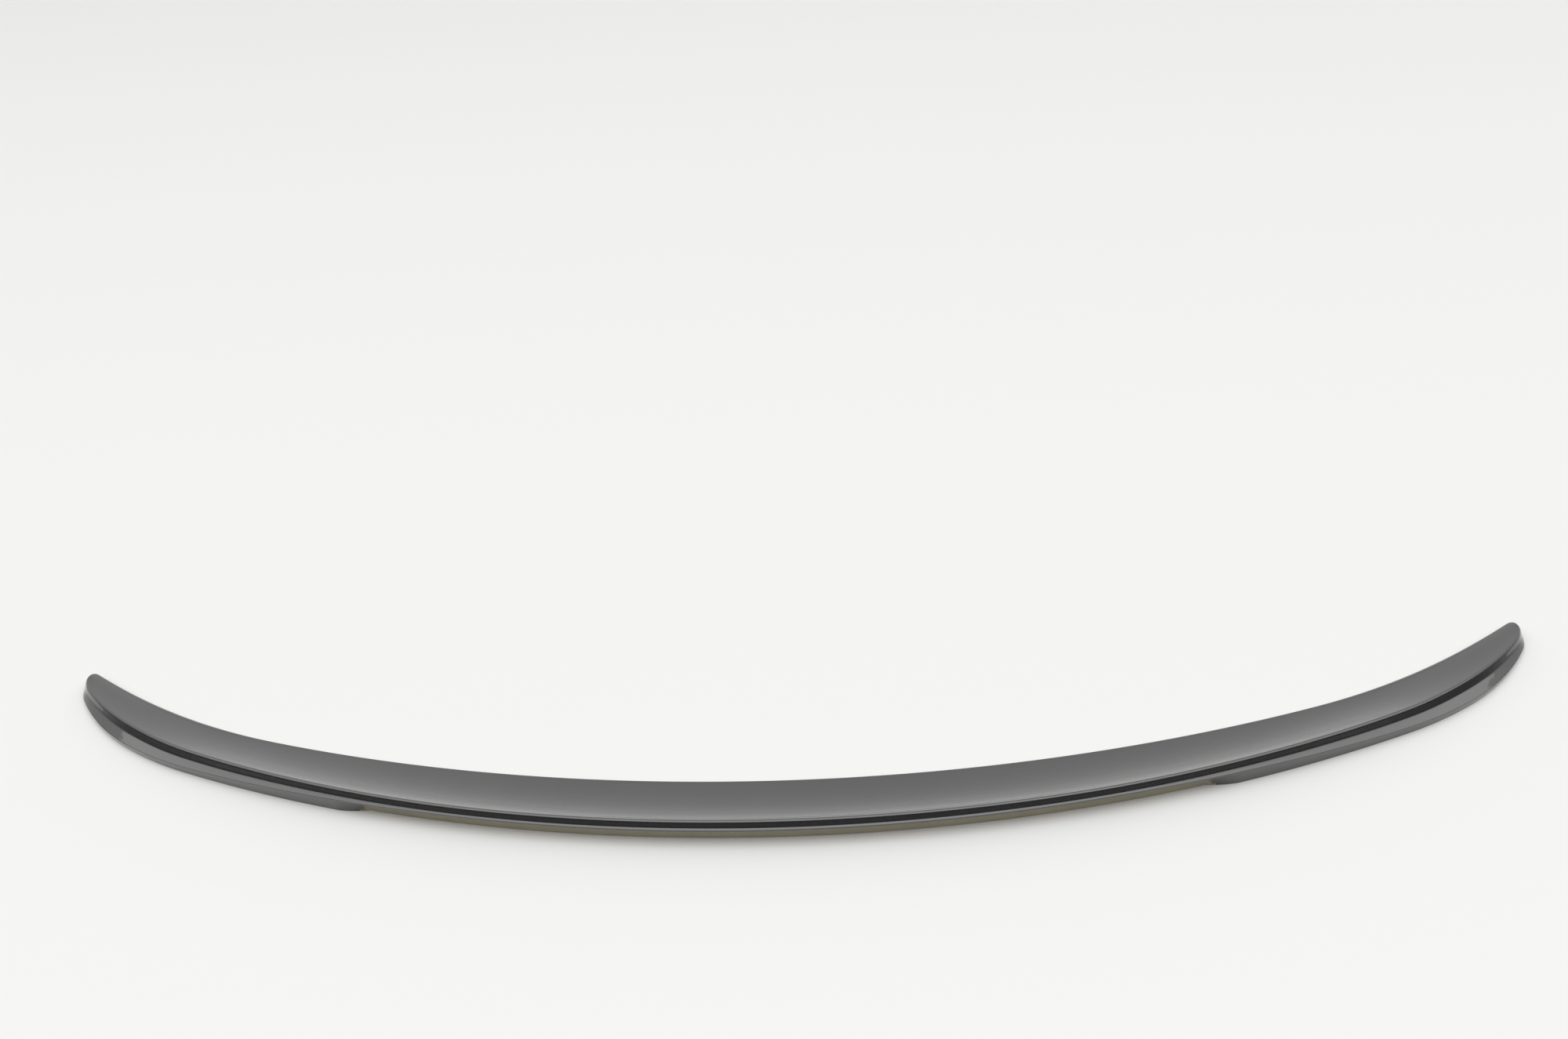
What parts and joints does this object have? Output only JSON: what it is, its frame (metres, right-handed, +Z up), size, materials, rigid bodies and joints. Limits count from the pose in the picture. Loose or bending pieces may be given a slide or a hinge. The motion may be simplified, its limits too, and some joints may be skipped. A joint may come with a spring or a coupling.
{
  "type": "car rear spoiler",
  "caption": "Low lip spoiler for a car's boot lid: bowed in plan, thin at the front edge, kicked up to a rounded lip, undercut at the rear, with closed rounded ends.",
  "frame": {"origin": "middle of the overall box, at the level of the flat underside that lies on the boot lid", "axes": "+X along the span towards the car's right, +Y towards the front of the car, +Z up from the lid"},
  "size_m": [1.2004, 0.195, 0.0188],
  "materials": {
    "paint": "dark grey metallic paint under a clear gloss coat, bare underside"
  },
  "bodies": {
    "root": {"spoiler_body": "paint"}
  },
  "joints": []
}
